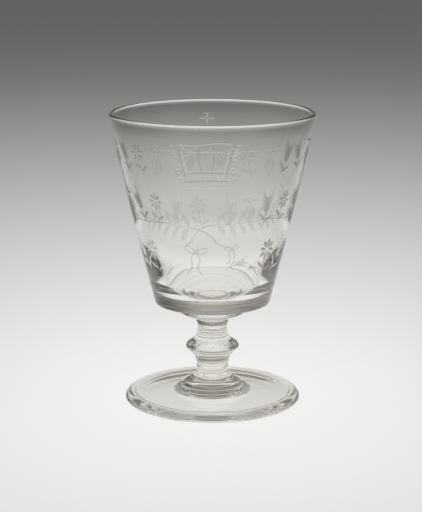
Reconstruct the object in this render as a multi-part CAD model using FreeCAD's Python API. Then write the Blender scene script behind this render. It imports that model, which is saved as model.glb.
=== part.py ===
"""A rummer: a short-stemmed drinking glass, made hot from separate gathers of clear glass.

Every piece is turned about the Z axis and stands on the one below it, face to face, as the
gathers are stuck together at the furnace. The foot rests on the plane Z = 0, and the bowl's
rim is at the top. Sizes are in millimetres. An outline is drawn in the half plane of radius
and height, and is turned through a full circle.
"""

import FreeCAD, Part  # noqa: E401
import math
import os

# Heights of the gathers, from the table up
foot_height = 4.6
pad_height = 7.6
lower_neck_height = 5.0
knop_height = 17.3
upper_neck_height = 4.3
collar_height = 4.6
bowl_height = 90.9

# Foot: a thick flat disc with a rounded edge, hollowed a little underneath
foot_radius = 40.5
foot_edge_width = 3.9
foot_shoulder_drop = 0.15
foot_widest_height = 1.6
foot_rest_outer_radius = 36.9
foot_rest_width = 1.6
foot_hollow_depth = 1.15
scar_radius = 9.0
scar_depth = 0.6

# Pad: the low dome between the foot and the stem, with a stepped edge
pad_radius = 17.9
pad_top_radius = 9.0
pad_step_shares = ((0.02, 0.12), (0.11, 0.17), (0.15, 0.27), (0.27, 0.33), (0.31, 0.41))
pad_dome_shares = ((0.48, 0.51), (0.65, 0.62), (0.79, 0.73), (0.90, 0.83), (0.97, 0.91))

# Stem: two short necks with a bladed knop between them
lower_neck_foot_radius = 8.8
lower_neck_radius = 7.36
lower_neck_flare_shares = ((0.26, 0.62), (0.56, 0.18))
upper_neck_radius = 6.75
upper_neck_top_radius = 7.7
upper_neck_flare_shares = ((0.40, 0.66), (0.72, 0.14))
knop_radius = 12.3
knop_widest_share = 0.47
knop_lower_shares = ((0.13, 0.09), (0.22, 0.24), (0.30, 0.48), (0.38, 0.75))
knop_upper_shares = ((0.54, 0.92), (0.60, 0.72), (0.665, 0.43), (0.735, 0.22), (0.81, 0.10), (0.89, 0.04))

# Collar: the wafer of glass that joins the stem to the bowl
collar_radius = 14.9
collar_top_radius = 13.6
collar_root_radius = 9.95
collar_root_height = 0.6
collar_lip_radius = 13.3
collar_lip_height = 2.45
collar_widest_height = 3.2

# Bowl: a bucket with a thick flat base, a wall that thins upwards and a fire-polished rim
rim_radius = 46.6
rim_thickness = 2.0
heel_radius = 26.6
heel_height = 4.0
heel_round = 1.3
underside_rise = 2.95
wall_bow = 0.6
floor_height = 8.4
floor_dish = 0.3
floor_corner_radius = 20.45
floor_corner_round = 4.2
# Each pair is a share of the wall's height above the heel and the wall's thickness there
wall_thicknesses = (
    (0.93, 1.9),
    (0.85, 1.85),
    (0.755, 1.8),
    (0.625, 1.9),
    (0.50, 2.2),
    (0.405, 2.5),
    (0.335, 2.45),
    (0.253, 3.5),
    (0.183, 4.6),
    (0.118, 5.3),
)

# Heights of the faces where one gather is stuck to the next
pad_base = foot_height
lower_neck_base = pad_base + pad_height
knop_base = lower_neck_base + lower_neck_height
upper_neck_base = knop_base + knop_height
collar_base = upper_neck_base + upper_neck_height
bowl_base = collar_base + collar_height
rim_top = bowl_base + bowl_height

TURN_DEGREES = 360
UP = FreeCAD.Vector(0, 0, 1)
ORIGIN = FreeCAD.Vector(0, 0, 0)


def point(radius, height):
    """A point of an outline, in the half plane of radius and height."""
    return FreeCAD.Vector(radius, 0, height)


def between(low, high, share):
    """The value that lies the given share of the way from low to high."""
    return low + (high - low) * share


class Outline:
    """A closed outline in radius and height, drawn edge by edge and then turned."""

    def __init__(self, radius, height):
        self.start = self.at = point(radius, height)
        self.edges = []

    def line(self, radius, height):
        end = point(radius, height)
        self.edges.append(Part.LineSegment(self.at, end).toShape())
        self.at = end
        return self

    def arc(self, via_radius, via_height, radius, height):
        """An arc of a circle through a point on the way."""
        end = point(radius, height)
        via = point(via_radius, via_height)
        self.edges.append(Part.Arc(self.at, via, end).toShape())
        self.at = end
        return self

    def quarter(self, radius, height, level_first):
        """A quarter of an ellipse. It leaves level and arrives upright, or the other way."""
        end = point(radius, height)
        if level_first:
            centre = point(self.at.x, end.z)
        else:
            centre = point(end.x, self.at.z)
        reach, rise = abs(end.x - self.at.x), abs(end.z - self.at.z)
        ends = sorted((self.at, end), key=lambda p: p.distanceToPoint(centre), reverse=True)
        major, minor = ends if reach != rise else (self.at, end)
        ellipse = Part.Ellipse(major, minor, centre)
        arc = Part.ArcOfEllipse(ellipse, 0, math.pi / 2)
        self.edges.append(arc.toShape())
        self.at = end
        return self

    def curve(self, points, leave=None, arrive=None):
        """A smooth curve through the points. leave and arrive are its directions at the ends."""
        places = [self.at] + [point(*p) for p in points]
        spline = Part.BSplineCurve()
        if leave is None and arrive is None:
            spline.interpolate(Points=places)
        else:
            flags = [False] * len(places)
            tangents = [point(1, 0)] * len(places)
            for index, direction in ((0, leave), (-1, arrive)):
                if direction is not None:
                    flags[index] = True
                    tangents[index] = point(*direction)
            spline.interpolate(Points=places, Tangents=tangents, TangentFlags=flags)
        self.edges.append(spline.toShape())
        self.at = places[-1]
        return self

    def rounded(self, corner_radius, corner_height, radius, height, rounding):
        """Lines to a corner and on to the point, with the corner rounded by an arc."""
        corner = point(corner_radius, corner_height)
        end = point(radius, height)
        back = (self.at - corner).normalize()
        onward = (end - corner).normalize()
        half_angle = back.getAngle(onward) / 2
        reach = rounding / math.tan(half_angle)
        depth = rounding / math.sin(half_angle) - rounding
        first = corner + back * reach
        middle = corner + (back + onward).normalize() * depth
        last = corner + onward * reach
        self.line(first.x, first.z)
        self.arc(middle.x, middle.z, last.x, last.z)
        return self.line(end.x, end.z)

    def turned(self):
        """The solid that the outline sweeps in a full turn about the Z axis."""
        if self.at.distanceToPoint(self.start) > 0:
            self.line(self.start.x, self.start.z)
        face = Part.Face(Part.Wire(self.edges))
        solid = Part.Solid(face.revolve(ORIGIN, UP, TURN_DEGREES))
        if solid.Volume < 0:
            solid.reverse()
        return solid


def foot():
    shoulder_radius = foot_radius - foot_edge_width
    shoulder_height = foot_height - foot_shoulder_drop
    rest_inner_radius = foot_rest_outer_radius - foot_rest_width
    hollow_bend_radius = between(scar_radius, rest_inner_radius, 1 / 2)
    hollow_bend_height = between(0, foot_hollow_depth, 3 / 4)
    outline = Outline(0, foot_hollow_depth + scar_depth)
    outline.arc(
        scar_radius / 2, foot_hollow_depth + scar_depth * 3 / 4, scar_radius, foot_hollow_depth
    )
    outline.arc(hollow_bend_radius, hollow_bend_height, rest_inner_radius, 0)
    outline.line(foot_rest_outer_radius, 0)
    outline.quarter(foot_radius, foot_widest_height, level_first=True)
    outline.quarter(shoulder_radius, shoulder_height, level_first=False)
    outline.line(pad_radius, foot_height)
    outline.line(0, foot_height)
    return outline.turned()


def foot_pad():
    def rise(share, height_share):
        radius = between(pad_radius, pad_top_radius, share)
        return radius, pad_base + between(0, pad_height, height_share)

    steps = [rise(*s) for s in pad_step_shares]
    dome = [rise(*s) for s in pad_dome_shares]
    outline = Outline(0, pad_base).line(pad_radius, pad_base)
    outline.curve(steps + dome + [rise(1, 1)], leave=(0, 1), arrive=(0, 1))
    outline.line(0, lower_neck_base)
    return outline.turned()


def lower_neck():
    def flare(share, width):
        radius = between(lower_neck_radius, lower_neck_foot_radius, width)
        return radius, lower_neck_base + between(0, lower_neck_height, share)

    outline = Outline(0, lower_neck_base).line(lower_neck_foot_radius, lower_neck_base)
    outline.curve([flare(*s) for s in lower_neck_flare_shares] + [flare(1, 0)], arrive=(0, 1))
    outline.line(0, knop_base)
    return outline.turned()


def knop():
    def below(share, swell):
        radius = between(lower_neck_radius, knop_radius, swell)
        return radius, knop_base + between(0, knop_height, share)

    def above(share, swell):
        radius = between(upper_neck_radius, knop_radius, swell)
        return radius, knop_base + between(0, knop_height, share)

    swelling = [below(*s) for s in knop_lower_shares]
    widest = below(knop_widest_share, 1)
    falling = [above(*s) for s in knop_upper_shares]
    outline = Outline(0, knop_base).line(lower_neck_radius, knop_base)
    outline.curve(swelling + [widest] + falling + [above(1, 0)], leave=(0, 1), arrive=(0, 1))
    outline.line(0, upper_neck_base)
    return outline.turned()


def upper_neck():
    def flare(share, width):
        radius = between(upper_neck_radius, upper_neck_top_radius, width)
        return radius, collar_base - between(0, upper_neck_height, share)

    outline = Outline(0, collar_base).line(upper_neck_top_radius, collar_base)
    outline.curve([flare(*s) for s in upper_neck_flare_shares] + [flare(1, 0)], arrive=(0, -1))
    outline.line(0, upper_neck_base)
    return outline.turned()


def collar():
    outline = Outline(0, collar_base).line(upper_neck_top_radius, collar_base)
    outline.line(collar_root_radius, collar_base + collar_root_height)
    outline.line(collar_lip_radius, collar_base + collar_lip_height)
    outline.quarter(collar_radius, collar_base + collar_widest_height, level_first=True)
    outline.quarter(collar_top_radius, bowl_base, level_first=False)
    outline.line(0, bowl_base)
    return outline.turned()


def bowl():
    rim_half = rim_thickness / 2
    rim_base = rim_top - rim_half
    heel_top = bowl_base + heel_height
    heel_start_radius = heel_radius - heel_round
    heel_start_height = bowl_base + underside_rise
    floor_top = bowl_base + floor_height
    middle_radius = between(heel_radius, rim_radius, 1 / 2) + wall_bow
    middle_height = between(heel_top, rim_base, 1 / 2)
    wall_foot, wall_middle = point(heel_radius, heel_top), point(middle_radius, middle_height)
    wall = Part.Arc(wall_foot, wall_middle, point(rim_radius, rim_base)).toShape().Curve

    def inside(share, thickness):
        """The inner face at that share of the wall's height: the outer arc less the thickness."""
        height = between(heel_top, rim_base, share)
        across = math.sqrt(wall.Radius**2 - (height - wall.Center.z) ** 2)
        return wall.Center.x + across - thickness, height

    inner_wall = [inside(*pair) for pair in wall_thicknesses]
    round_share = math.sqrt(1 / 2)
    outline = Outline(0, bowl_base).line(collar_top_radius, bowl_base)
    outline.line(heel_start_radius, heel_start_height)
    outline.arc(
        between(heel_start_radius, heel_radius, round_share),
        between(heel_start_height, heel_top, 1 - round_share),
        heel_radius,
        heel_top,
    )
    outline.arc(middle_radius, middle_height, rim_radius, rim_base)
    outline.arc(rim_radius - rim_half, rim_top, rim_radius - rim_thickness, rim_base)
    outline.curve(inner_wall)
    floor_middle = floor_top - floor_dish
    outline.rounded(floor_corner_radius, floor_top, 0, floor_middle, floor_corner_round)
    return outline.turned()


PIECES = {
    "foot": foot,
    "foot_pad": foot_pad,
    "lower_neck": lower_neck,
    "knop": knop,
    "upper_neck": upper_neck,
    "collar": collar,
    "bowl": bowl,
}

os.makedirs("parts", exist_ok=True)
for name, make in PIECES.items():
    shape = make()
    shape.exportStep(f"parts/{name}.step")
    print(name, "valid", shape.isValid(), "volume in cubic millimetres", round(shape.Volume, 1))
print("total height", rim_top)
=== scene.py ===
# %% [markdown]
# # A clear glass rummer
#
# A rummer is a short-stemmed drinking glass. It is made hot at the furnace from separate
# gathers of clear glass, each stuck on the one below it: foot, pad, neck, knop, neck, collar
# and bowl. The CAD frame already holds those seven solids. This lesson gives each of them a
# finer skin of its own, engraves the bowl, and lights the glass softly.

# %% Load the frame
import math
import bpy
import numpy as np
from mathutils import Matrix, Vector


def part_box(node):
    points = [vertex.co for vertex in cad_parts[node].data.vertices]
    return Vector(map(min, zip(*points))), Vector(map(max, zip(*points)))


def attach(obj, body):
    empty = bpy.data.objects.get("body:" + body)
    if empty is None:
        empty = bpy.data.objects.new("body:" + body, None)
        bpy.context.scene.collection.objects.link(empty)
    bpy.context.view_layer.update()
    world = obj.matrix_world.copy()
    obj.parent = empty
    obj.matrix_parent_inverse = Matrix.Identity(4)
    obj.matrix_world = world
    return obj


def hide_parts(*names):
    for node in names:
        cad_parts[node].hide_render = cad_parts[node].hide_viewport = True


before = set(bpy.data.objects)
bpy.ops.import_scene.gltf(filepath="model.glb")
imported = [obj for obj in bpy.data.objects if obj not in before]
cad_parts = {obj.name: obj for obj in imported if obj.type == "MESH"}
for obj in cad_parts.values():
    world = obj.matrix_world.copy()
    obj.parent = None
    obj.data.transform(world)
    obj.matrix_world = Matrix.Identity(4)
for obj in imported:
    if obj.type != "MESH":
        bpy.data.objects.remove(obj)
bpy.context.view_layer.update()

MM = 0.001
scene = bpy.context.scene
print("gathers in the frame:", ", ".join(sorted(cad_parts)))

# %% [markdown]
# ## The camera
#
# The photograph looks down on the glass by about 13 degrees with a long lens. The numbers come
# from a pinhole camera that was fitted to the ellipses of the rim and the foot, so the same
# ellipses fall on the same places here. An image that is taller than wide uses its height for
# the sensor, so the focal length is given for 36 mm over 512 pixels.

# %% Camera
FOCAL_PIXELS = 1658.494
IMAGE_HEIGHT = 512
SENSOR = 36.0
SHIFT_PIXELS = -1.4
CAMERA_PLACE = (0, -0.743108, 0.234528)
LOOK_DOWN = 0.2208

camera_data = bpy.data.cameras.new("camera")
camera_data.sensor_width = SENSOR
camera_data.lens = FOCAL_PIXELS / IMAGE_HEIGHT * SENSOR
camera_data.shift_x = SHIFT_PIXELS / IMAGE_HEIGHT
camera = bpy.data.objects.new("camera", camera_data)
camera.location = CAMERA_PLACE
camera.rotation_euler = (math.pi / 2 - LOOK_DOWN, 0, 0)
scene.collection.objects.link(camera)
scene.camera = camera
print("lens in mm:", round(camera_data.lens, 1))

# %% [markdown]
# ## A helper for shader nodes
#
# Node trees are easier to read when one line makes one node. The helper sets a node's plain
# sockets, and joins those that are given another node's output.

# %% Shader node helper
def put(tree, kind, sockets=None, **settings):
    """Adds a node of that kind. sockets maps a socket's name or number to a value or an output."""
    node = tree.nodes.new(kind)
    for name, value in settings.items():
        setattr(node, name, value)
    for name, value in (sockets or {}).items():
        socket = node.inputs[name]
        if isinstance(value, bpy.types.NodeSocket):
            tree.links.new(value, socket)
        else:
            socket.default_value = value
    return node


def maths(tree, operation, a, b=0.0, clamp=False):
    """The output of one Math node."""
    node = put(tree, "ShaderNodeMath", {0: a, 1: b}, operation=operation, use_clamp=clamp)
    return node.outputs[0]


def new_material(name):
    """An empty material and its node tree."""
    material = bpy.data.materials.new(name)
    material.use_nodes = True
    material.node_tree.nodes.clear()
    return material, material.node_tree


# %% [markdown]
# ## Settings that glass needs
#
# A ray crosses a dozen faces of this glass before it leaves, so many bounces are allowed.
# Sharp caustics are left off, and the material lets soft light through instead, which keeps
# the picture free of bright specks. The Standard view shows each colour as it is written.

# %% Light paths
scene.view_settings.view_transform = "Standard"
cycles = scene.cycles
cycles.caustics_refractive = False
cycles.caustics_reflective = False
cycles.max_bounces = 32
cycles.transmission_bounces = 32
cycles.glossy_bounces = 16
cycles.transparent_max_bounces = 32
print("bounces through glass:", cycles.transmission_bounces)

# %% [markdown]
# ## The floor
#
# The glass stands on a pale sheet that is lit near the glass and falls off to grey behind it
# and, more steeply, to both sides. The fall could be left to a lamp, but it would then change
# with every lamp. Here the sheet's own colour carries it: the brightness at a distance d is
# written down once, and what the lamp already does at that distance is divided out. Part of
# the look is given to camera, mirror and glass rays directly, as a plain studio background, and
# the rest stays a matt surface, so that the glass still casts its faint shadow.

# %% Floor
FLOOR_NEAR = 0.775
FLOOR_FAR = 0.12
FLOOR_FALL = 1.8
FLOOR_POWER = 1.25
LAMP_SPREAD = 1.6
LAMP_ON_FLOOR = 0.75
WORLD_ON_FLOOR = 0.2
BACKGROUND_SHARE = 0.6
FLOOR_TINT = (1.0, 0.998, 0.985)
SIDE_SLOPE = 0.31
SIDE_APEX = 0.74
SIDE_POWER = 4.0
PALEST_SHEET = 0.95


def floor_material():
    """Brightness is far + near * exp(-fall * d ** power) / (1 + s ** side power) at distance d,
    with s = abs(x) / (abs(y) + apex) / slope, so that it is brightest along a widening path."""
    material, tree = new_material("pale_sheet")
    place = put(tree, "ShaderNodeTexCoord").outputs["Object"]
    distance = put(tree, "ShaderNodeVectorMath", {0: place}, operation="LENGTH").outputs["Value"]
    fall = maths(tree, "POWER", distance, FLOOR_POWER)
    fall = maths(tree, "POWER", math.exp(-FLOOR_FALL), fall)
    near = maths(tree, "MULTIPLY", fall, FLOOR_NEAR)
    parts = put(tree, "ShaderNodeSeparateXYZ", {0: place}).outputs
    half_width = maths(tree, "ADD", maths(tree, "ABSOLUTE", parts["Y"]), SIDE_APEX)
    half_width = maths(tree, "MULTIPLY", half_width, SIDE_SLOPE)
    side = maths(tree, "DIVIDE", maths(tree, "ABSOLUTE", parts["X"]), half_width)
    side = maths(tree, "ADD", maths(tree, "POWER", side, SIDE_POWER), 1.0)
    wanted = maths(tree, "ADD", maths(tree, "DIVIDE", near, side), FLOOR_FAR)
    spread = maths(tree, "ADD", maths(tree, "MULTIPLY", distance, distance), LAMP_SPREAD ** 2)
    lamp = maths(tree, "DIVIDE", LAMP_SPREAD ** 2, spread)
    lamp = maths(tree, "MULTIPLY", maths(tree, "MULTIPLY", lamp, lamp), LAMP_ON_FLOOR)
    light = maths(tree, "ADD", lamp, WORLD_ON_FLOOR)
    albedo = maths(tree, "MINIMUM", maths(tree, "DIVIDE", wanted, light), PALEST_SHEET)

    def tinted(value):
        scale = {"Vector": FLOOR_TINT, "Scale": value}
        return put(tree, "ShaderNodeVectorMath", scale, operation="SCALE").outputs["Vector"]

    matt = put(tree, "ShaderNodeBsdfDiffuse", {"Color": tinted(albedo)})
    glow = put(tree, "ShaderNodeEmission", {"Color": tinted(wanted)})
    path = put(tree, "ShaderNodeLightPath").outputs
    seen = maths(tree, "MAXIMUM", path["Is Camera Ray"], path["Is Glossy Ray"])
    seen = maths(tree, "MAXIMUM", seen, path["Is Transmission Ray"])
    share = maths(tree, "MULTIPLY", seen, BACKGROUND_SHARE)
    both = put(tree, "ShaderNodeMixShader", {0: share, 1: matt.outputs[0], 2: glow.outputs[0]})
    put(tree, "ShaderNodeOutputMaterial", {"Surface": both.outputs[0]})
    return material


FLOOR_GAP = 0.03 * MM
FLOOR_RADIUS = 30
FLOOR_CORNERS = 128
bpy.ops.mesh.primitive_circle_add(
    vertices=FLOOR_CORNERS, radius=FLOOR_RADIUS, fill_type="NGON", location=(0, 0, -FLOOR_GAP)
)
floor = bpy.context.object
floor.name = "floor"
floor.data.materials.append(floor_material())
print("floor brightness near the glass:", FLOOR_NEAR + FLOOR_FAR)

# %% [markdown]
# ## The room
#
# Glass shows the room more than it shows itself. The room here is soft and dim, so that the
# stem's edges are dark lines before the bright sheet. A few broad areas are lighter or darker,
# and two small ones, overhead and low behind the glass, light the heel of the bowl. Each area
# is a round patch of directions with a soft edge, made by one node group that turns a
# direction into a mask. A picture of a studio could be wrapped round the scene instead, but
# signed patches are easier to reason about and to change one at a time.

# %% Room patches
def patch_group():
    """A mask that is 1 along an axis and falls smoothly to 0 where the cosine reaches edge.
    A direction's height is multiplied by flat first, which makes the patch a low wide one."""
    group = bpy.data.node_groups.new("soft_patch", "ShaderNodeTree")
    sockets = group.interface.new_socket
    sockets("Direction", in_out="INPUT", socket_type="NodeSocketVector")
    sockets("Axis", in_out="INPUT", socket_type="NodeSocketVector")
    sockets("Edge", in_out="INPUT", socket_type="NodeSocketFloat")
    sockets("Flat", in_out="INPUT", socket_type="NodeSocketFloat")
    sockets("Mask", in_out="OUTPUT", socket_type="NodeSocketFloat")
    ins = group.nodes.new("NodeGroupInput").outputs
    stretch = put(group, "ShaderNodeCombineXYZ", {"X": 1.0, "Y": 1.0, "Z": ins["Flat"]})
    scaled = {0: ins["Direction"], 1: stretch.outputs[0]}
    scaled = put(group, "ShaderNodeVectorMath", scaled, operation="MULTIPLY").outputs["Vector"]
    unit = put(group, "ShaderNodeVectorMath", {0: scaled}, operation="NORMALIZE").outputs["Vector"]
    vectors = {0: unit, 1: ins["Axis"]}
    cosine = put(group, "ShaderNodeVectorMath", vectors, operation="DOT_PRODUCT").outputs["Value"]
    limits = {"Value": cosine, "From Min": ins["Edge"], "From Max": 1.0}
    mask = put(group, "ShaderNodeMapRange", limits, interpolation_type="SMOOTHSTEP")
    out = group.nodes.new("NodeGroupOutput")
    group.links.new(mask.outputs[0], out.inputs["Mask"])
    return group


ROOM_BASE = 0.23
ROOM_DARKEST = 0.01
ROOM_PATCHES = (
    # axis, cosine at the edge, flat, strength
    ((0.0, 1.0, 0.1), 0.55, 1.0, 0.08),
    ((0.97, 0.26, 0.18), 0.42, 1.7, -0.28),
    ((0.0, -1.0, 0.35), 0.45, 1.5, -0.14),
    ((-1.0, 0.1, 0.2), 0.55, 1.0, -0.07),
    ((0.0, 0.0, 1.0), 0.60, 1.0, 0.12),
    ((0.0, 1.0, 0.9), 0.70, 1.0, -0.07),
    ((0.0, 0.0, 1.0), 0.93, 1.0, 0.11),
    ((0.0, 1.0, 0.02), 0.90, 4.0, 0.2),
)
ROOM_LOW_TINT = (1.0, 0.91, 0.78)
ROOM_WARM_TO = (0.45, 0.95)


def room():
    """The world: a base level plus signed soft patches, warm near the floor and neutral above.
    Camera rays see the far floor's grey."""
    world = bpy.data.worlds.new("room")
    scene.world = world
    world.use_nodes = True
    tree = world.node_tree
    tree.nodes.clear()
    direction = put(tree, "ShaderNodeTexCoord").outputs["Generated"]
    group = patch_group()
    level = ROOM_BASE
    for axis, edge, flat, strength in ROOM_PATCHES:
        length = math.sqrt(sum(a * a for a in axis))
        one = tree.nodes.new("ShaderNodeGroup")
        one.node_tree = group
        tree.links.new(direction, one.inputs["Direction"])
        one.inputs["Axis"].default_value = [a / length for a in axis]
        one.inputs["Edge"].default_value = edge
        one.inputs["Flat"].default_value = flat
        level = maths(tree, "ADD", maths(tree, "MULTIPLY", one.outputs[0], strength), level)
    level = maths(tree, "MAXIMUM", level, ROOM_DARKEST)
    height = put(tree, "ShaderNodeSeparateXYZ", {0: direction}).outputs["Z"]
    limits = {"Value": height, "From Min": ROOM_WARM_TO[0], "From Max": ROOM_WARM_TO[1]}
    high = put(tree, "ShaderNodeMapRange", limits, interpolation_type="SMOOTHSTEP").outputs[0]
    tints = {0: high, 6: (*ROOM_LOW_TINT, 1), 7: (1, 1, 1, 1)}
    tint = put(tree, "ShaderNodeMix", tints, data_type="RGBA").outputs[2]
    light = {0: tint, "Scale": level}
    light = put(tree, "ShaderNodeVectorMath", light, operation="SCALE").outputs["Vector"]
    camera_ray = put(tree, "ShaderNodeLightPath").outputs["Is Camera Ray"]
    far = (FLOOR_FAR, FLOOR_FAR, FLOOR_FAR, 1)
    seen = put(tree, "ShaderNodeMix", {0: camera_ray, 6: light, 7: far}, data_type="RGBA")
    background = put(tree, "ShaderNodeBackground", {"Color": seen.outputs[2]})
    put(tree, "ShaderNodeOutputWorld", {"Surface": background.outputs[0]})


room()
print("soft patches in the room:", len(ROOM_PATCHES))

# %% [markdown]
# ## The lamp
#
# A broad lamp overhead lights matt things, here the sheet and the cuts. Glass does not see the
# lamp itself, only the soft room, so no hard window shape lies on the bowl. Its power is given
# as a level that does not change with its size.

# %% Lamp
LAMP_HEIGHT = 1.3
LAMP_SIZE = (1.6, 1.2)
LAMP_LEVEL = 3.1

lamp_data = bpy.data.lights.new("overhead", "AREA")
lamp_data.shape = "RECTANGLE"
lamp_data.size, lamp_data.size_y = LAMP_SIZE
watts_per_level = math.pi * lamp_data.size * lamp_data.size_y
lamp_data.energy = LAMP_LEVEL * watts_per_level
lamp = bpy.data.objects.new("overhead", lamp_data)
lamp.location = (0, 0, LAMP_HEIGHT)
lamp.visible_transmission = False
lamp.visible_glossy = False
scene.collection.objects.link(lamp)
print("lamp in watts:", round(lamp_data.energy, 2))

# %% [markdown]
# ## Clear glass
#
# Old glass is clear with a very slight warm tint, and hand work leaves its surface a little
# uneven. The unevenness is a height, worked out once in a node group from stretched noise and
# fed to a Bump node in each material. The glass itself is a Principled shader with full
# transmission. Rays that only carry soft light pass straight through, because a thick clear
# glass hardly darkens what stands behind it.

# %% Glass materials
GLASS_TINT = (0.985, 0.98, 0.962, 1)
GLASS_IOR = 1.54
SOFT_LIGHT_PASS = (0.975, 0.973, 0.965, 1)
WAVE_DETAIL = 1.5
WAVE_HEIGHT = 0.0004


def uneven_group():
    """A height of slow waves that run round the glass, from noise squeezed along the axis."""
    group = bpy.data.node_groups.new("hand_worked", "ShaderNodeTree")
    sockets = group.interface.new_socket
    sockets("Scale", in_out="INPUT", socket_type="NodeSocketFloat")
    sockets("Squeeze", in_out="INPUT", socket_type="NodeSocketFloat")
    sockets("Height", in_out="OUTPUT", socket_type="NodeSocketFloat")
    ins = group.nodes.new("NodeGroupInput").outputs
    place = put(group, "ShaderNodeTexCoord").outputs["Object"]
    parts = put(group, "ShaderNodeSeparateXYZ", {0: place}).outputs
    along = maths(group, "MULTIPLY", parts["Z"], ins["Squeeze"])
    squeezed = put(group, "ShaderNodeCombineXYZ", {"X": parts["X"], "Y": parts["Y"], "Z": along})
    noise = {"Vector": squeezed.outputs[0], "Scale": ins["Scale"], "Detail": WAVE_DETAIL}
    waves = put(group, "ShaderNodeTexNoise", noise).outputs[0]
    out = group.nodes.new("NodeGroupOutput")
    group.links.new(waves, out.inputs["Height"])
    return group


UNEVEN = uneven_group()


def glass_material(name, scale, squeeze, strength):
    """Clear glass with a slightly uneven surface."""
    material, tree = new_material(name)
    waves = tree.nodes.new("ShaderNodeGroup")
    waves.node_tree = UNEVEN
    waves.inputs["Scale"].default_value = scale
    waves.inputs["Squeeze"].default_value = squeeze
    bumps = {"Height": waves.outputs[0], "Strength": strength, "Distance": WAVE_HEIGHT}
    bump = put(tree, "ShaderNodeBump", bumps)
    shader = {
        "Base Color": GLASS_TINT,
        "Roughness": 0.0,
        "IOR": GLASS_IOR,
        "Transmission Weight": 1.0,
        "Normal": bump.outputs[0],
    }
    glass = put(tree, "ShaderNodeBsdfPrincipled", shader)
    clear = put(tree, "ShaderNodeBsdfTransparent", {"Color": SOFT_LIGHT_PASS})
    path = put(tree, "ShaderNodeLightPath").outputs
    soft = maths(tree, "MAXIMUM", path["Is Shadow Ray"], path["Is Diffuse Ray"])
    both = put(tree, "ShaderNodeMixShader", {0: soft, 1: glass.outputs[0], 2: clear.outputs[0]})
    put(tree, "ShaderNodeOutputMaterial", {"Surface": both.outputs[0]})
    return material


clear_glass = glass_material("clear_glass", scale=60.0, squeeze=3.0, strength=0.05)
bowl_glass = glass_material("bowl_glass", scale=45.0, squeeze=2.0, strength=0.04)
print("glass materials:", clear_glass.name, bowl_glass.name)

# %% [markdown]
# ## Where two gathers are fused
#
# Each gather is a closed shell of its own, but the real ones melt into one another and no
# face is left between them. A glass shader on the two touching faces would mirror and bend
# the rays there. So those faces get a fully clear material, and a ray runs on through both
# as through one piece of glass.

# %% Fused faces
fused_face, tree = new_material("fused_face")
clear = put(tree, "ShaderNodeBsdfTransparent", {"Color": (1, 1, 1, 1)})
put(tree, "ShaderNodeOutputMaterial", {"Surface": clear.outputs[0]})
print("material between gathers:", fused_face.name)

# %% [markdown]
# ## Outlines
#
# Every gather is turned on the same axis, so its shape is an outline of radius and height in
# millimetres. An outline is joined from runs: straight lines, arcs, quarters of an ellipse
# and smooth curves through points that were read from the photograph's silhouette.

# %% Runs of an outline
def run(*points):
    """Straight lines between the points."""
    return np.array(points, float)


def arc(start, via, end, steps=12):
    """The circle through three points: its centre is as far from each, which is a linear
    system of two equations, and the angle runs evenly from start to end past via."""
    a, b, c = (np.array(p, float) for p in (start, via, end))
    rows = np.array([b - a, c - a])
    centre = np.linalg.solve(2 * rows, [b @ b - a @ a, c @ c - a @ a])
    angle = [math.atan2(*(p - centre)[::-1]) for p in (a, b, c)]
    turn = math.copysign(1, np.linalg.det(rows))
    sweep = (turn * (angle[2] - angle[0])) % (2 * math.pi)
    t = angle[0] + turn * np.linspace(0, sweep, steps + 1)
    return centre + np.hypot(*(a - centre)) * np.stack([np.cos(t), np.sin(t)], 1)


def quarter(start, end, level_first, steps=8):
    """A quarter of an ellipse: sine one way and one minus cosine the other."""
    t = np.linspace(0, math.pi / 2, steps + 1)
    across, up = (np.sin(t), 1 - np.cos(t)) if level_first else (1 - np.cos(t), np.sin(t))
    start, end = np.array(start, float), np.array(end, float)
    return start + (end - start) * np.stack([across, up], 1)


def smooth(points, leave=None, arrive=None, steps=4):
    """A cubic curve through the points, with the chords' lengths as its parameter. The bends
    at the points solve one linear system, and a given end direction fixes the slope there."""
    p = np.array(points, float)
    h = np.hypot(*np.diff(p, axis=0).T)
    slope = np.diff(p, axis=0) / h[:, None]
    n = len(p)
    rows = np.eye(n)
    side = np.zeros((n, 2))
    i = np.arange(1, n - 1)
    rows[i, i - 1], rows[i, i], rows[i, i + 1] = h[:-1], 2 * (h[:-1] + h[1:]), h[1:]
    side[i] = 6 * (slope[1:] - slope[:-1])
    if leave is not None:
        rows[0, :2] = 2 * h[0], h[0]
        side[0] = 6 * (slope[0] - np.array(leave) / np.hypot(*leave))
    if arrive is not None:
        rows[-1, -2:] = h[-1], 2 * h[-1]
        side[-1] = 6 * (np.array(arrive) / np.hypot(*arrive) - slope[-1])
    bend = np.linalg.solve(rows, side)
    s = (np.arange(steps) / steps)[None, :, None]
    h = h[:, None, None]
    a, b, m, k = p[:-1, None], p[1:, None], bend[:-1, None], bend[1:, None]
    r = 1 - s
    inner = a * r + b * s + ((r ** 3 - r) * m + (s ** 3 - s) * k) * h * h / 6
    return np.concatenate([inner.reshape(-1, 2), p[-1:]])


def evenly(path, step):
    """Points at even steps along a path."""
    p = np.array(path, float)
    length = np.concatenate(([0], np.cumsum(np.hypot(*np.diff(p, axis=0).T))))
    even = np.linspace(0, length[-1], max(4, round(length[-1] / step)) + 1)
    return np.stack([np.interp(even, length, p[:, i]) for i in (0, 1)], 1)


def between(low, high, share):
    """The value that lies the given share of the way from low to high."""
    return low + (high - low) * share


# %% [markdown]
# ## Turning an outline
#
# The skin is a grid: one way along the outline, the other way round the axis. Both are worked
# out at once as arrays. The first and last points lie on the axis and close the shell.

# %% Lathe
SHARP_DEGREES = 32


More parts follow.
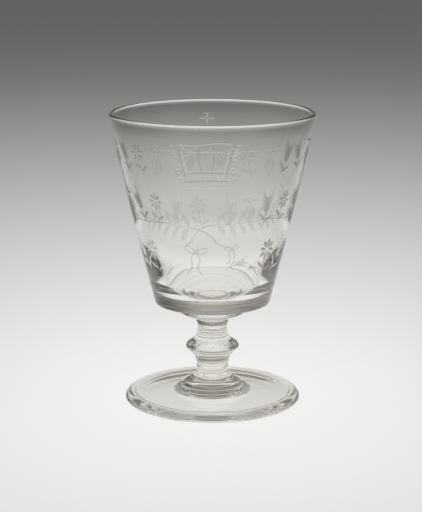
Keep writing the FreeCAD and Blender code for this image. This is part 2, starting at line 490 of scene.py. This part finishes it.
def turned(name, runs, materials, columns=192):
    """Sweeps the runs round Z: x = r cos t, y = r sin t. Each run is (points, material number).
    The ends of the outline lie on the axis, where a ring shrinks to one point."""
    outline, kinds = [], []
    for points, kind in runs:
        first = 0 if not outline else 1
        outline += [tuple(p) for p in points[first:]]
        kinds += [kind] * (len(points) - first)
    radius, height = np.array(outline[1:-1], float).T
    angle = np.arange(columns) * (2 * math.pi / columns)
    x, y = radius[:, None] * np.cos(angle), radius[:, None] * np.sin(angle)
    rings = np.stack([x, y, np.repeat(height[:, None], columns, 1)], 2).reshape(-1, 3)
    poles = [(0, 0, outline[0][1]), (0, 0, outline[-1][1])]
    places = np.concatenate([rings, poles]) * MM
    j = np.arange(columns)
    k = (j + 1) % columns
    row = (np.arange(len(radius) - 1) * columns)[:, None]
    sides = np.stack([row + j, row + k, row + columns + k, row + columns + j], 2).reshape(-1, 4)
    top = len(rings) - columns
    bottom_cap = np.stack([np.full(columns, len(rings)), k, j], 1)
    top_cap = np.stack([top + j, top + k, np.full(columns, len(rings) + 1)], 1)
    mesh = bpy.data.meshes.new(name)
    mesh.from_pydata(places.tolist(), [], sides.tolist() + bottom_cap.tolist() + top_cap.tolist())
    slots = np.repeat(kinds[2:-1], columns).tolist() + [kinds[1]] * columns + [kinds[-1]] * columns
    mesh.polygons.foreach_set("material_index", slots)
    for material in materials:
        mesh.materials.append(material)
    mesh.shade_smooth()
    mesh.set_sharp_from_angle(angle=math.radians(SHARP_DEGREES))
    mesh.update()
    piece = bpy.data.objects.new(name, mesh)
    scene.collection.objects.link(piece)
    return piece


def dress(piece, node):
    """The piece rides the one rigid body, and stands for its CAD node."""
    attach(piece, "root")
    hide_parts(node)
    mesh = piece.data
    mesh.calc_loop_triangles()
    print(piece.name, "triangles:", len(mesh.loop_triangles))


def heights(node):
    """The lowest and highest point of a CAD node, in mm."""
    low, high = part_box(node)
    return low[2] / MM, high[2] / MM


GLASS, FUSED = 0, 1
SKIN = (clear_glass, fused_face)
print("materials of a gather:", ", ".join(material.name for material in SKIN))

# %% [markdown]
# ## Rings that the tools left
#
# Jaws and paddles hold the glass while it turns, and leave fine rings round it. A bump in the
# material could draw them, but in clear glass they bend the light as real grooves do only when
# they are in the shape. So each ring is a small dip of the outline, in the form of a bell curve.

# %% Tool rings
RINGS = (
    # height, depth, width in mm
    (51.20, 0.14, 0.16), (49.90, 0.08, 0.20),
    (36.10, 0.24, 0.17), (34.00, 0.18, 0.15), (32.10, 0.20, 0.17), (28.90, 0.14, 0.16),
    (23.80, 0.18, 0.18), (21.40, 0.20, 0.18), (19.20, 0.20, 0.17), (18.30, 0.16, 0.15),
    (14.00, 0.24, 0.17), (12.60, 0.20, 0.15), (11.50, 0.24, 0.17), (10.50, 0.24, 0.17),
    (8.60, 0.24, 0.17), (7.55, 0.20, 0.15), (6.70, 0.20, 0.15), (5.20, 0.24, 0.17),
    (4.20, 0.14, 0.12), (3.75, 0.12, 0.12), (3.25, 0.12, 0.14), (2.70, 0.12, 0.14),
    (2.10, 0.10, 0.14), (1.40, 0.10, 0.14),
)
RING_STEP = 0.1


def ringed(points, step=RING_STEP):
    """The outline at even steps of its length, less depth * exp(-((z - height) / width) ** 2)
    of radius for each ring that a tool left."""
    p = evenly(points, step)
    for height, depth, width in RINGS:
        p[:, 0] -= depth * np.exp(-(((p[:, 1] - height) / width) ** 2))
    return p


print("rings that tools left on the side:", len(RINGS))

# %% [markdown]
# ## Foot and pad
#
# The foot is a thick disc, tooled round at the edge and hollowed a little underneath, so that
# it stands on a ring. The scar in the middle, rough where the iron rod was broken off, is drawn
# here as a smooth shallow hollow of its own. The pad on it is a low dome with small steps, left
# by the tool that squeezed the stem's end.

# %% Foot
FOOT_WIDEST = (40.5, 1.6)
REST_INNER, REST_OUTER = 35.3, 36.9
SCAR_TOP, SCAR_VIA, SCAR_EDGE = (0, 1.75), (4.5, 1.6), (9.0, 1.15)
HOLLOW_VIA = (22.4, 0.86)
SHOULDER = [(36.6, 4.45), (36.28, 4.3), (36.05, 3.85), (35.82, 4.3), (35.4, 4.46)]
FOOT_TOP_VIA = (30.0, 4.52)
PAD_RADIUS = 17.9

low, high = heights("foot")
edge = ringed(np.concatenate([
    quarter((REST_OUTER, low), FOOT_WIDEST, level_first=True, steps=12),
    quarter(FOOT_WIDEST, SHOULDER[0], level_first=False, steps=14)[1:],
]))
edge[0], edge[-1] = (REST_OUTER, low), SHOULDER[0]
foot = turned(
    "rummer_foot",
    [
        (arc(SCAR_TOP, SCAR_VIA, SCAR_EDGE, steps=6), GLASS),
        (arc(SCAR_EDGE, HOLLOW_VIA, (REST_INNER, low), steps=16), GLASS),
        (run((REST_INNER, low), (REST_OUTER, low)), GLASS),
        (edge, GLASS),
        (smooth(SHOULDER), GLASS),
        (run(SHOULDER[-1], FOOT_TOP_VIA, (PAD_RADIUS, high)), GLASS),
        (run((PAD_RADIUS, high), (0, high)), FUSED),
    ],
    SKIN,
    columns=256,
)
dress(foot, "foot")

# %% Pad
PAD_TOP_RADIUS = 9.0
PAD_SIDE = [
    (PAD_RADIUS, 4.6), (17.72, 5.51), (16.92, 5.89), (16.57, 6.65), (15.5, 7.11),
    (15.14, 7.72), (13.63, 8.48), (12.1, 9.31), (10.87, 10.15), (9.89, 10.91), (9.27, 11.52),
    (PAD_TOP_RADIUS, 12.2),
]
UPRIGHT = (0, 1)

low, high = heights("foot_pad")
side = ringed(smooth(PAD_SIDE, leave=UPRIGHT, arrive=UPRIGHT, steps=16))
side[0], side[-1] = (PAD_RADIUS, low), (PAD_TOP_RADIUS, high)
pad = turned(
    "rummer_pad",
    [
        (run((0, low), (PAD_RADIUS, low)), FUSED),
        (side, GLASS),
        (run((PAD_TOP_RADIUS, high), (0, high)), FUSED),
    ],
    SKIN,
)
dress(pad, "foot_pad")

# %% [markdown]
# ## Stem
#
# The stem is a knop with a bladed edge between two short necks. Where one gather was stuck on
# the next, a fine ring remains. It is drawn as a groove a seventh of a millimetre deep, of
# which each gather has one side.

# %% Necks and knop
SEAM_DEPTH = 0.14
SEAM_WIDTH = 0.3


def seamed(points):
    """Cuts the outline back by depth * (1 - distance to the nearer end / width), if above 0."""
    p = np.array(points, float)
    near = np.minimum(p[:, 1] - p[0, 1], p[-1, 1] - p[:, 1])
    p[:, 0] -= SEAM_DEPTH * np.clip(1 - near / SEAM_WIDTH, 0, 1)
    return p


def gather(name, node, points, leave=None, arrive=None):
    """A solid gather between two flat seats, its side a smooth curve through the points."""
    low, high = heights(node)
    side = seamed(ringed(smooth(points, leave, arrive, steps=16)))
    side[0, 1], side[-1, 1] = low, high
    runs = [
        (np.array([(0, low), side[0]]), FUSED),
        (side, GLASS),
        (np.array([side[-1], (0, high)]), FUSED),
    ]
    dress(turned(name, runs, SKIN), node)


LOWER_WAIST, UPPER_WAIST = (7.36, 17.2), (6.75, 34.5)
NECK_TOP_RADIUS = 7.7

gather(
    "rummer_lower_neck",
    "lower_neck",
    [(8.8, 12.2), (8.25, 13.5), (7.62, 15.0), LOWER_WAIST],
    arrive=UPRIGHT,
)
gather(
    "rummer_knop",
    "knop",
    [
        LOWER_WAIST, (7.8, 19.45), (8.55, 21.0), (9.73, 22.39), (11.07, 23.77),
        (12.3, 25.33), (11.86, 26.54), (10.75, 27.58), (9.14, 28.7), (7.97, 29.92),
        (7.31, 31.21), (6.97, 32.6), UPPER_WAIST,
    ],
    leave=UPRIGHT,
    arrive=UPRIGHT,
)
gather(
    "rummer_upper_neck",
    "upper_neck",
    [UPPER_WAIST, (6.88, 35.7), (7.38, 37.08), (NECK_TOP_RADIUS, 38.8)],
    leave=UPRIGHT,
)

# %% [markdown]
# ## Collar
#
# The collar is a wafer of glass between stem and bowl. Its underside spreads in a flat cone
# to a rounded lip, and the bowl sits on its flat top.

# %% Collar
COLLAR_ROOT = (9.95, 39.4)
COLLAR_LIP = (13.3, 41.25)
COLLAR_WIDEST = (14.9, 42.0)
SEAT_RADIUS = 13.6

low, high = heights("collar")
neck_end = (NECK_TOP_RADIUS - SEAM_DEPTH, low)
collar = turned(
    "rummer_collar",
    [
        (run((0, low), neck_end), FUSED),
        (run(neck_end, COLLAR_ROOT, COLLAR_LIP), GLASS),
        (quarter(COLLAR_LIP, COLLAR_WIDEST, level_first=True), GLASS),
        (quarter(COLLAR_WIDEST, (SEAT_RADIUS, high), level_first=False), GLASS),
        (run((SEAT_RADIUS, high), (0, high)), FUSED),
    ],
    SKIN,
)
dress(collar, "collar")

# %% [markdown]
# ## Bowl
#
# The bowl is a bucket. Its outside bows a little, and its inside is not parallel to it: the
# rim is a slightly thicker bead where it was melted smooth, the wall thins to 1.65 mm below it,
# and it grows to five near the floor, where the glass gathers while it is blown. The thin
# place gives the darker band under the rim. The thick part works as a prism and gives the
# dark patches at both sides of the lower bowl. So the inside outline matters as much as the
# outside.

# %% Bowl outlines
HEEL_START = (25.3, 46.35)
HEEL = (26.6, 47.4)
WALL_MIDDLE = (37.2, 90.35)
RIM = (46.6, 133.3)
RIM_THICKNESS = 2.0
THICKNESSES = (
    # share of the way from heel to rim, thickness
    (0.99, 1.91), (0.973, 1.82), (0.95, 1.735), (0.915, 1.67), (0.874, 1.65),
    (0.822, 1.69), (0.755, 1.76), (0.625, 1.9), (0.5, 2.2),
    (0.405, 2.5), (0.335, 2.45), (0.253, 3.5), (0.183, 4.6), (0.118, 5.3),
)
FLOOR = 51.8
FLOOR_CORNER = 20.45
CORNER_ROUND = 4.2
FLOOR_DISH = 0.3

outer_line = arc(HEEL, WALL_MIDDLE, RIM, steps=400)


def outer_radius(height):
    """The outside radius at a height, read off the finely divided arc."""
    return np.interp(height, outer_line[:, 1], outer_line[:, 0])


def rounded_corner(before, corner, after, radius, steps=8):
    """The arc that rounds a corner: it touches both sides radius / tan(half the angle) away."""
    b, c, a = (np.array(p, float) for p in (before, corner, after))
    u, v = (b - c) / np.hypot(*(b - c)), (a - c) / np.hypot(*(a - c))
    half = math.acos(u @ v) / 2
    reach = radius / math.tan(half)
    middle = (u + v) / np.hypot(*(u + v))
    via = c + middle * (radius / math.sin(half) - radius)
    return arc(c + u * reach, via, c + v * reach, steps)


def outside(low, high, step):
    """Rings of the outer wall between two heights."""
    height = np.linspace(low, high, max(2, round((high - low) / step) + 1))
    return np.stack([outer_radius(height), height], 1)


inner_points = [(RIM[0] - RIM_THICKNESS, RIM[1])]
for share, thickness in THICKNESSES:
    height = between(HEEL[1], RIM[1], share)
    inner_points.append((float(outer_radius(height)) - thickness, height))
inner_wall = smooth(inner_points, steps=4)
corner = rounded_corner(
    inner_wall[-1], (FLOOR_CORNER, FLOOR), (0, FLOOR - FLOOR_DISH), CORNER_ROUND
)
rim_middle = (RIM[0] - RIM_THICKNESS / 2, RIM[1] + RIM_THICKNESS / 2)
print("inner wall rings:", len(inner_wall), "rim top:", rim_middle[1])

# %% [markdown]
# ## The bowl's mesh
#
# The bowl is one closed shell: seat, underside, heel, outer wall, rim bead, inner wall and the
# floor inside. The tool left fine rings round the underside and the heel, and those of the
# underside show through the floor as circles. The wall over the heel is left plain here, and
# the engraving gets a mesh of its own below.

# %% Bowl
UNDER_RINGS = (
    # radius, depth, width in mm
    (14.9, 0.10, 0.26), (16.3, 0.07, 0.22), (17.7, 0.12, 0.26), (19.2, 0.07, 0.22),
    (20.8, 0.12, 0.26), (22.5, 0.08, 0.22), (24.0, 0.10, 0.22),
)
UNDER_STEP = 0.15


def rippled(points):
    """The underside with rings that a tool left: each is raised by depth *
    exp(-((r - radius) / width) ** 2)."""
    p = evenly(points, UNDER_STEP)
    for radius, depth, width in UNDER_RINGS:
        p[:, 1] += depth * np.exp(-(((p[:, 0] - radius) / width) ** 2))
    return p


HEEL_WALL_TOP = 54.6
HEEL_STEP = 0.2
WALL_STEP = 1.5
ROUND_OUT, ROUND_UP = 0.707, 0.293
DISH_RING = (6.0, FLOOR - FLOOR_DISH * 0.8)

heel_wall = ringed(outside(HEEL[1], HEEL_WALL_TOP, step=0.5), step=HEEL_STEP)
heel_wall[0] = HEEL
low, high = heights("bowl")
heel_via = (between(HEEL_START[0], HEEL[0], ROUND_OUT), between(HEEL_START[1], HEEL[1], ROUND_UP))
floor_middle = (0, FLOOR - FLOOR_DISH)
bowl = turned(
    "rummer_bowl",
    [
        (run((0, low), (SEAT_RADIUS, low)), FUSED),
        (rippled([(SEAT_RADIUS, low), HEEL_START]), GLASS),
        (arc(HEEL_START, heel_via, HEEL, steps=6), GLASS),
        (heel_wall, GLASS),
        (outside(HEEL_WALL_TOP, RIM[1], step=WALL_STEP), GLASS),
        (arc(RIM, rim_middle, inner_points[0], steps=10), GLASS),
        (inner_wall, GLASS),
        (np.concatenate([inner_wall[-1:], corner]), GLASS),
        (run(corner[-1], DISH_RING, floor_middle), GLASS),
    ],
    (bowl_glass, fused_face),
    columns=360,
)
dress(bowl, "bowl")

# %% [markdown]
# ## Wheel engraving
#
# An engraver holds the glass against a small spinning copper wheel, which leaves shallow matt
# cuts. Most are thinner than any mesh of the whole wall could follow. So each cut is a narrow
# band of its own, laid a fiftieth of a millimetre over the wall: matt in the middle and clear
# at its edges. Light catches the lower flank of a real cut and leaves the upper flank darker.
# Here that is painted into the cut's colour, a painted highlight on the lower flank and painted
# shade on the upper one, so each point of a band also knows how far it faces down. A pen's
# force makes all its cuts more or less matt, and its shift moves them towards the painted
# highlight or the painted shade.

# %% Pen
LIFT = 0.02
BAND_STEP = 0.8
ACROSS = np.array([-1.0, -0.55, 0.0, 0.55, 1.0])
FADE = np.array([0.0, 0.9, 1.0, 0.9, 0.0])
LEAF_FULLNESS = 0.8
NIB_START, NIB_GROWTH = 0.3, 8
VEIN_SHARE, VEIN_WIDTH = 0.85, 0.35
bands = []


class Pen:
    """Draws on the bowl's wall. A point (x, z) of a drawing is leant over, scaled by size, and
    lies x mm round the bowl from the middle line and z mm over the height. With back, it draws
    on the far wall and mirrored, so that it looks right through the glass."""

    def __init__(self, degrees, height=0.0, size=1.0, lean=0.0, force=1.0, lit_shift=0.0, back=False):
        self.middle = math.pi / 2 - math.radians(degrees) if back else math.radians(degrees - 90)
        self.turn = -1 if back else 1
        self.height, self.size, self.force, self.lit_shift = height, size, force, lit_shift
        c, s = math.cos(math.radians(lean)), math.sin(math.radians(lean))
        self.lean = np.array([[c, -s], [s, c]])

    def band(self, path, width, matt, leaf=False):
        """A band along the path. Its half width is that of the wheel, with pointed ends, or
        for a leaf the sine of pi times the share along it, to the power of its fullness."""
        p = np.array(path, float) @ self.lean * self.size
        p = evenly(p, BAND_STEP)
        way = np.gradient(p, axis=0)
        way /= np.hypot(*way.T)[:, None]
        beside = np.stack([-way[:, 1], way[:, 0]], 1)
        share = np.linspace(0, 1, len(p))
        if leaf:
            half = width * self.size / 2 * np.sin(np.pi * share) ** LEAF_FULLNESS
        else:
            nib = np.minimum(share, 1 - share) * NIB_GROWTH + NIB_START
            half = width / 2 * np.clip(nib, 0, 1)
        x, z = np.moveaxis(p[:, None] + beside[:, None] * (half[:, None] * ACROSS)[..., None], 2, 0)
        z = z + self.height
        # the share of the band that faces down, moved by the pen's shift: 0 is painted shade, 1 is
        # painted highlight
        painted_lit = 0.5 - 0.5 * beside[:, 1, None] * ACROSS
        painted_lit = np.clip(painted_lit + self.lit_shift, 0, 1)
        cut = np.broadcast_to(FADE * min(matt * self.force, 1), x.shape)
        radius = outer_radius(z) + LIFT
        angle = self.middle + self.turn * x / radius
        bands.append(np.stack([radius * np.cos(angle), radius * np.sin(angle), z, cut, painted_lit], 2))

    def line(self, points, width=0.4, matt=0.5):
        """A thin cut through the points."""
        self.band(points, width, matt)

    def curve(self, points, width=0.4, matt=0.5):
        """A thin cut that bends smoothly through the points."""
        self.band(smooth(points, steps=6), width, matt)

    def leaf(self, root, tip, width, matt=0.25, vein=0.0):
        """A shallow almond from root to tip, and a vein if it has one."""
        root, tip = np.array(root, float), np.array(tip, float)
        self.band([root, tip], width, matt, leaf=True)
        if vein:
            self.band([root, between(root, tip, VEIN_SHARE)], VEIN_WIDTH, vein)


print("points across a band:", len(ACROSS))

# %% [markdown]
# The back of the bowl, seen through the front, has an old and common device: a crown over two
# crossed laurel sprays, about five degrees to one side. Ribbons tied in bows hang below them,
# on the front.

# %% Crown, sprays and bow
DEVICE = -5.1
LEAF_SPACING = 5.6
ROUND = np.linspace(0, 2 * math.pi, 17)
UNIT_CIRCLE = np.stack([np.cos(ROUND), np.sin(ROUND)], 1)


def draw_crown():
    """A crown with a bowed top, beads up both sides, and a cross of four petals over it."""
    # the first pen shifts its cuts towards painted shade, the second and the faint one towards
    # painted highlight
    shaded_pen, lit_pen = (Pen(DEVICE, force=1.3, lit_shift=t, back=True) for t in (-0.3, 0.4))
    faint = Pen(DEVICE, force=0.8, lit_shift=0.3, back=True)
    for line in (
        [(-12.4, 95.4), (12.8, 95.2)],
        [(-9.9, 96.0), (-14.0, 113.0)],
        [(10.0, 96.0), (13.9, 109.8), (14.2, 113.0)],
        [(-10.6, 99.0), (-4.0, 99.2), (4.0, 99.0), (10.8, 99.2)],
        [(-1.8, 99.6), (-3.4, 105.6), (-2.8, 112.0)],
        [(3.0, 99.6), (4.6, 105.6), (4.0, 112.2)],
    ):
        shaded_pen.line(line, 0.6, 0.4)
    for line in (
        [(-11.4, 92.4), (10.9, 92.2)],
        [(-8.9, 97.2), (-12.2, 110.6)],
        [(8.9, 97.2), (12.4, 110.6)],
        [(-10.2, 100.0), (10.4, 100.0)],
    ):
        lit_pen.line(line, 0.6, 0.4)
    top = [(-14.0, 113.6), (-9.0, 113.4), (-3.0, 113.0), (1.0, 113.6), (5.0, 114.2), (14.2, 113.6)]
    lit_pen.curve(top, 0.7, 0.6)
    for side in (-1, 1):
        for k in range(9):
            root = (side * (15.6 - 0.5 * k), 113.2 - 1.95 * k)
            lit_pen.leaf(root, (root[0] + side * 2.6, root[1] + 0.3), 1.1, 0.5)
            shaded_pen.line([(root[0], root[1] - 0.9), (root[0] + side * 2.2, root[1] - 0.7)], 0.4, 0.25)
        for k in range(3):
            shaded_pen.leaf((side * (5.6 + k), 100.6), (side * (7.2 + 1.5 * k), 109.8 - k), 1.4, 0.2)
    for k in range(-4, 5):
        lit_pen.leaf((2.1 * k, 96.4), (2.1 * k, 98.4), 1.0, 0.45)
    for tip in ((-2.6, 125.2), (5.4, 125.2), (1.4, 127.4), (1.4, 122.8)):
        faint.leaf((1.4, 125.2), tip, 1.7, 0.5)
    faint.line([(-0.4, 127.6), (3.2, 127.6)], 0.6, 0.5)
    faint.line([(-1.0, 118.4), (3.8, 118.4)], 0.6, 0.4)
    faint.line([(1.4, 115.2), (1.4, 117.6)], 0.5, 0.2)


def draw_spray(stem, first, side):
    """A curved stem with leaves in pairs, each pair turned out from the stem."""
    pen = Pen(DEVICE, force=1.25, back=True)
    curve = smooth(stem, steps=6)
    pen.band(curve, 0.75, 0.4)
    length = np.concatenate(([0], np.cumsum(np.hypot(*np.diff(curve, axis=0).T))))
    for at in np.arange(first, length[-1], LEAF_SPACING):
        here, ahead = (
            np.array([np.interp(v, length, curve[:, i]) for i in (0, 1)]) for v in (at, at + 1.0)
        )
        along = (ahead - here) / np.hypot(*(ahead - here)) if at + 1 < length[-1] else (0, 1)
        for turn, reach in ((0.85, 9.0), (-0.8, 6.0)):
            c, s = math.cos(turn * side), math.sin(turn * side)
            way = np.array([along[0] * c - along[1] * s, along[0] * s + along[1] * c])
            pen.leaf(here + way * 0.8, here + way * reach, 3.6, 0.24, 0.28)


RIGHT_STEM = [
    (-16.0, 66.6), (-12.0, 67.0), (-8.0, 68.8), (-4.0, 71.3), (3.0, 73.4), (10.5, 74.0),
    (20.0, 75.4), (28.8, 77.6), (37.0, 80.0), (44.0, 84.0), (48.0, 91.0), (49.5, 99.0),
]
LEFT_STEM = [
    (18.5, 64.6), (12.0, 65.2), (6.0, 67.2), (1.0, 69.6), (-4.0, 71.3), (-11.0, 73.0),
    (-18.0, 74.8), (-26.0, 77.2), (-35.0, 79.8), (-43.0, 83.6), (-47.5, 91.0), (-49.0, 99.0),
]


def draw_bow(pen):
    """Two loops and two ends of ribbon, one unit high."""
    for side in (-1, 1):
        loop = UNIT_CIRCLE * (0.17, 0.1) @ [[1, side * 0.35], [0, 1]]
        pen.line(loop + (side * 0.2, 0.34), 0.9, 0.4)
        pen.curve([(0, 0.3), (side * 0.14, 0.0), (side * 0.1, -0.3), (side * 0.26, -0.5)], 1.1, 0.4)
    pen.leaf((0, 0.22), (0, 0.42), 0.12, 0.4)


draw_crown()
draw_spray(RIGHT_STEM, 22.5, 1)
draw_spray(LEFT_STEM, 28.5, -1)
print("bands on the back:", len(bands))

# %% [markdown]
# The front and sides have three rows of small plants of the kinds that such glasses often
# show: daisies, barley ears and hops, with thin level twigs between them and level lines under
# the middle row. A plant is drawn once, about one unit high, and each pen gives it a place, a
# size, a lean, a force and a shift of its cuts towards painted highlight or painted shade.

# %% Daisy, barley, hop, twig and border
def draw_daisy(pen):
    """Eight petals round a bead, on a bent stem with two leaves."""
    for k in range(8):
        way = UNIT_CIRCLE[2 * k] * (0.85, 1.0)
        pen.leaf(way * 0.07 + (0, 0.2), way * 0.3 + (0, 0.2), 0.13, 0.4, 0.4)
    pen.line(UNIT_CIRCLE * 0.06 + (0, 0.2), 0.4, 0.6)
    pen.curve([(0, -0.1), (0.02, -0.3), (0.1, -0.5)], 0.5, 0.6)
    pen.leaf((0.02, -0.3), (-0.24, -0.12), 0.1, 0.45, 0.5)
    pen.leaf((0.04, -0.36), (0.3, -0.2), 0.1, 0.45, 0.5)


def draw_barley(pen):
    """An ear of paired grains with whiskers, on a stem with two long leaves."""
    pen.curve([(-0.05, -0.5), (0.0, -0.2), (0.01, 0.3)], 0.6, 0.6)
    for k in range(5):
        for side in (-1, 1):
            root = np.array([0, -0.1 + 0.09 * k])
            tip = root + (side * 0.12, 0.13)
            pen.leaf(root, tip, 0.09, 0.5)
            pen.line([tip, tip + (side * 0.06, 0.2)], 0.4, 0.4)
    pen.leaf((-0.03, -0.4), (0.24, -0.2), 0.09, 0.45, 0.5)
    pen.leaf((-0.02, -0.34), (-0.22, -0.1), 0.09, 0.45, 0.5)


def draw_hop(pen):
    """A hanging cone of overlapping scales, under a short bent stalk with two leaves."""
    for row, count in enumerate((2, 3, 3, 2, 1)):
        for k in range(count):
            x = (k - (count - 1) / 2) * 0.15
            pen.leaf((x * 0.8, 0.2 - 0.12 * row), (x, -0.02 - 0.12 * row), 0.14, 0.36, 0.45)
    pen.curve([(0, 0.2), (0.02, 0.34), (0.12, 0.5)], 0.5, 0.6)
    pen.leaf((0.02, 0.3), (-0.26, 0.42), 0.13, 0.42, 0.5)
    pen.leaf((0.04, 0.34), (0.32, 0.3), 0.13, 0.42, 0.5)


def draw_twig(pen):
    """A level stem with a pair of thin leaves that meet it at the middle line."""
    pen.line([(-1.0, 0.02), (-0.4, 0)], 0.5, 0.45)
    pen.line([(-0.3, 0), (0.36, 0.02)], 0.5, 0.6)
    for side in (-1, 1):
        pen.line([(-0.3, side * 0.11), (0.02, 0)], 0.5, 0.6)


def draw_border(pen):
    """Two nearly level lines, one over the other, that close a row of plants."""
    pen.line([(-1.0, 0.0), (0.0, -0.02), (1.0, 0.03)], 0.5, 0.6)
    pen.line([(-0.8, 0.1), (0.7, 0.12)], 0.4, 0.3)


PLANTS = {
    "daisy": draw_daisy, "barley": draw_barley, "hop": draw_hop,
    "twig": draw_twig, "border": draw_border, "bow": draw_bow,
}
GARDEN = (
    # plant, degrees round the bowl from its front, height, size, lean, force, shift towards painted
    # highlight, below 0 towards painted shade
    ("hop", -79, 117.5, 14.5, 10, 1.9, -0.3), ("barley", -62, 117.5, 15.6, -14, 1.9, -0.3),
    ("daisy", -48, 117.5, 15.2, -8, 1.2, -0.2), ("hop", -34, 117.2, 14.0, 6, 0.55, -0.1),
    ("barley", -20, 117.2, 13.5, 10, 0.35, 0), ("daisy", 21, 117.2, 13.8, -10, 0.5, 0),
    ("hop", 35, 117.2, 13.8, -6, 0.55, -0.1), ("barley", 48, 118.0, 15.6, 12, 1.6, -0.3),
    ("barley", 60, 118.0, 14.6, -18, 1.8, -0.3), ("hop", 78, 118.0, 14.4, 0, 1.9, -0.3),
    ("hop", -74, 95.4, 14.4, 0, 2.0, -0.3), ("barley", -56, 95.6, 15.4, -24, 2.1, -0.3),
    ("daisy", -40, 95.8, 15.0, 4, 1.2, -0.2), ("barley", -24, 95.2, 13.6, 8, 0.6, 0),
    ("daisy", -9, 95.4, 15.4, -6, 0.55, 0), ("barley", 11, 95.2, 13.6, 8, 0.4, 0),
    ("hop", 25, 95.4, 14.4, -6, 0.55, 0), ("barley", 38, 95.6, 15.4, 0, 1.4, -0.2),
    ("daisy", 53, 95.6, 15.0, 14, 1.6, -0.2), ("barley", 70, 95.6, 15.4, 18, 2.2, -0.3),
    ("barley", -68, 73.0, 18.5, -30, 3.0, 0.45), ("daisy", -52, 72.0, 17.5, -12, 2.8, 0.1),
    ("bow", -13, 73.0, 13.5, 6, 0.8, -0.1), ("bow", 14.5, 75.6, 9.0, -4, 0.7, -0.1),
    ("barley", 20, 71.0, 10.0, 70, 0.8, -0.1), ("twig", 34, 68.4, 9.0, 14, 1.2, -0.2),
    ("daisy", 45, 72.6, 17.5, 8, 2.6, -0.1), ("barley", 63, 73.0, 18.5, 24, 3.0, 0.2),
    ("twig", -10, 122.7, 20.0, 0, 1.0, 0.3), ("twig", 16.5, 122.7, 16.0, 0, 1.0, 0.3),
    ("twig", 2, 122.9, 8.0, 0, 0.9, 0.3), ("twig", 33, 122.5, 10.0, 0, 0.7, 0.3),
    ("twig", -9.5, 111.4, 7.0, 0, 0.9, 0.3), ("twig", 14, 111.4, 12.0, 0, 0.9, 0.3),
    ("border", -56, 88.9, 14.0, 0, 1.2, -0.3), ("border", 57, 89.8, 13.0, 6, 1.2, -0.3),
)
for kind, degrees, height, size, lean, force, lit_shift in GARDEN:
    PLANTS[kind](Pen(degrees, height, size, lean, force, lit_shift))
print("bands in all:", len(bands))

# %% [markdown]
# A band is a grid of points, so its faces follow from its size, and all bands are joined into
# one mesh. The matt glass of a cut scatters light both ways, so as a thin veil it looks pale
# before a dark wall and grey before a bright floor. Its colour is painted light: it runs from
# painted shade on the upper flank to a painted highlight on the lower flank. The lower flank
# also has a painted glow, an emission that stands in for the light that comes through the glass
# from behind.

# %% Engraving
# lit and shaded copies of the cut's matt colour: painted shade for the upper flank, painted
# highlight for the lower, and the lower flank's painted glow
CUT_PAINTED_SHADE = (0.16, 0.15, 0.135)
CUT_PAINTED_LIGHT = (0.93, 0.92, 0.90)
CUT_PAINTED_GLOW = (0.0, 0.22)
CUT_ROUGHNESS = 0.6
GRAIN_SCALE = 1400.0
GRAIN_LEAST = 0.5


def cut_material():
    """A veil: alpha is how matt the place is times a fine grain. The colour runs from painted
    shade on the upper flank to a painted highlight on the lower flank, and the painted glow
    grows the same way."""
    material, tree = new_material("wheel_cut")
    matt = put(tree, "ShaderNodeAttribute", attribute_name="matt").outputs["Fac"]
    painted_lit = put(tree, "ShaderNodeAttribute", attribute_name="painted_lit").outputs["Fac"]
    place = put(tree, "ShaderNodeTexCoord").outputs["Object"]
    noise = {"Vector": place, "Scale": GRAIN_SCALE, "Detail": 1.0}
    grain = put(tree, "ShaderNodeTexNoise", noise).outputs[0]
    grain = maths(tree, "ADD", grain, GRAIN_LEAST)
    grain = maths(tree, "MULTIPLY", grain, matt, clamp=True)
    # painted shade to painted highlight across each band
    colours = {0: painted_lit, 6: (*CUT_PAINTED_SHADE, 1), 7: (*CUT_PAINTED_LIGHT, 1)}
    colour = put(tree, "ShaderNodeMix", colours, data_type="RGBA").outputs[2]
    # painted glow: the lower flank emits a little light in place of the light that comes through
    # the glass from behind
    least, most = ((level, level, level, 1) for level in CUT_PAINTED_GLOW)
    glows = {0: painted_lit, 6: least, 7: most}
    glow = put(tree, "ShaderNodeMix", glows, data_type="RGBA").outputs[2]
    shader = {
        "Base Color": colour,
        "Roughness": CUT_ROUGHNESS,
        "Alpha": grain,
        "Emission Color": glow,
        "Emission Strength": 1.0,
    }
    veil = put(tree, "ShaderNodeBsdfPrincipled", shader)
    put(tree, "ShaderNodeOutputMaterial", {"Surface": veil.outputs[0]})
    return material


def grid_faces(first, long, wide):
    """The quads between neighbouring points of a grid, numbered from first."""
    i = first + np.arange(long - 1)[:, None] * wide + np.arange(wide - 1)
    return np.stack([i, i + 1, i + wide + 1, i + wide], -1).reshape(-1, 4)


points = np.concatenate([b.reshape(-1, 5) for b in bands])
firsts = np.cumsum([0] + [b.shape[0] * b.shape[1] for b in bands])
faces = np.concatenate([grid_faces(n, *b.shape[:2]) for n, b in zip(firsts, bands)])
mesh = bpy.data.meshes.new("rummer_engraving")
mesh.from_pydata((points[:, :3] * MM).tolist(), [], faces.tolist())
for k, name in ((3, "matt"), (4, "painted_lit")):
    mesh.attributes.new(name, "FLOAT", "POINT").data.foreach_set("value", points[:, k])
mesh.materials.append(cut_material())
mesh.shade_smooth()
engraving = bpy.data.objects.new("rummer_engraving", mesh)
scene.collection.objects.link(engraving)
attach(engraving, "root")
print("engraving faces:", len(faces))
